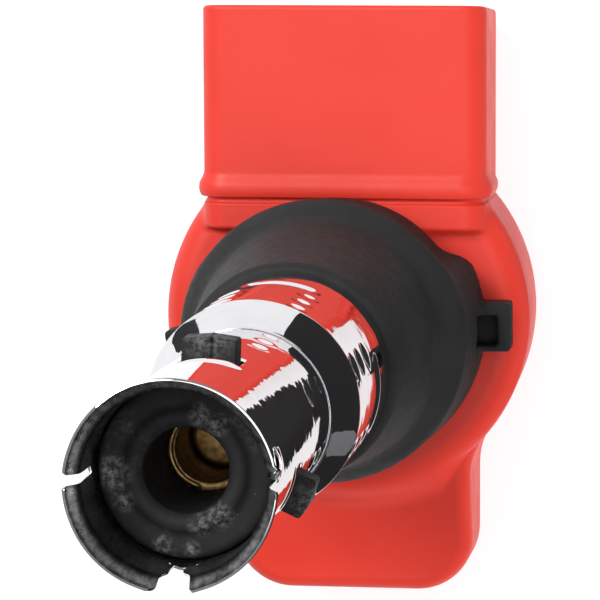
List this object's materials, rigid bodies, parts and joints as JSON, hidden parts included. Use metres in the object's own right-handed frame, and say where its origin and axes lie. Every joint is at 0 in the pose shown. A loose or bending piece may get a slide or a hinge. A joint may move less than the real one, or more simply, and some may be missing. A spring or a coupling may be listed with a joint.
{
  "type": "plug-top ignition coil",
  "caption": "Pencil ignition coil: moulded head with connector socket, rubber well seal, plated tube over the transformer, slotted sleeve and boot with a sprung contact.",
  "frame": {"origin": "on the shaft axis, in the plane of the head's flat top, on which the coil stands", "axes": "+Z along the shaft towards the spark plug end, +Y the way the connector socket opens, -Y towards the tail of the head, +X completes a right-handed frame"},
  "size_m": [0.0472, 0.0775, 0.145],
  "materials": {
    "red_plastic": "semi-gloss moulded, glass-filled",
    "black_rubber": "matt silicone rubber",
    "plated_steel": "bright plated, drawn sheet",
    "contact_brass": "turned, lightly worn",
    "spring_steel": "drawn wire",
    "tinned_copper": "tin-plated, stamped",
    "enamelled_copper": "enamelled wire, wound and impregnated",
    "silicon_steel": "laminated, matt",
    "magnet": "sintered, ground",
    "white_moulding": "glass-filled moulding",
    "board_laminate": "solder-masked laminate",
    "epoxy_black": "transfer-moulded",
    "aluminium": "stamped, mill finish",
    "capacitor_film": "dipped",
    "potting": "cast epoxy",
    "cushion_foam": "soft elastomer",
    "ceramic": "unglazed ceramic"
  },
  "bodies": {
    "coil_body": {"head_housing": "red_plastic", "head_cover": "red_plastic", "connector_pin_1": "tinned_copper", "connector_pin_2": "tinned_copper", "connector_pin_3": "tinned_copper", "connector_pin_4": "tinned_copper", "driver_board": "board_laminate", "power_transistor": "epoxy_black", "heat_spreader": "aluminium", "noise_capacitor": "capacitor_film", "potting_resin": "potting", "primary_lead_1": "enamelled_copper", "primary_lead_2": "enamelled_copper", "secondary_lead": "enamelled_copper", "coil_case": "white_moulding", "flux_shield": "silicon_steel", "primary_bobbin": "white_moulding", "primary_winding": "enamelled_copper", "secondary_bobbin": "white_moulding", "secondary_winding": "enamelled_copper", "core_rod": "silicon_steel", "core_magnet_upper": "magnet", "core_magnet_lower": "magnet", "core_cushion_upper": "cushion_foam", "core_cushion_lower": "cushion_foam", "high_voltage_diode": "epoxy_black", "suppression_resistor": "ceramic", "well_seal": "black_rubber", "outer_tube": "plated_steel", "lower_sleeve": "plated_steel", "spark_plug_boot": "black_rubber", "terminal_cup": "contact_brass", "snap_ring": "contact_brass", "contact_spring": "spring_steel"},
    "plunger": {"contact_plunger": "contact_brass"}
  },
  "joints": [
    {"name": "plunger_slide", "type": "slide", "parent": "coil_body", "child": "plunger", "axis": [0, 0, -1], "range_m": [0, 0.0025], "stiffness_N_per_m": 800, "deforming": ["contact_spring"]}
  ]
}
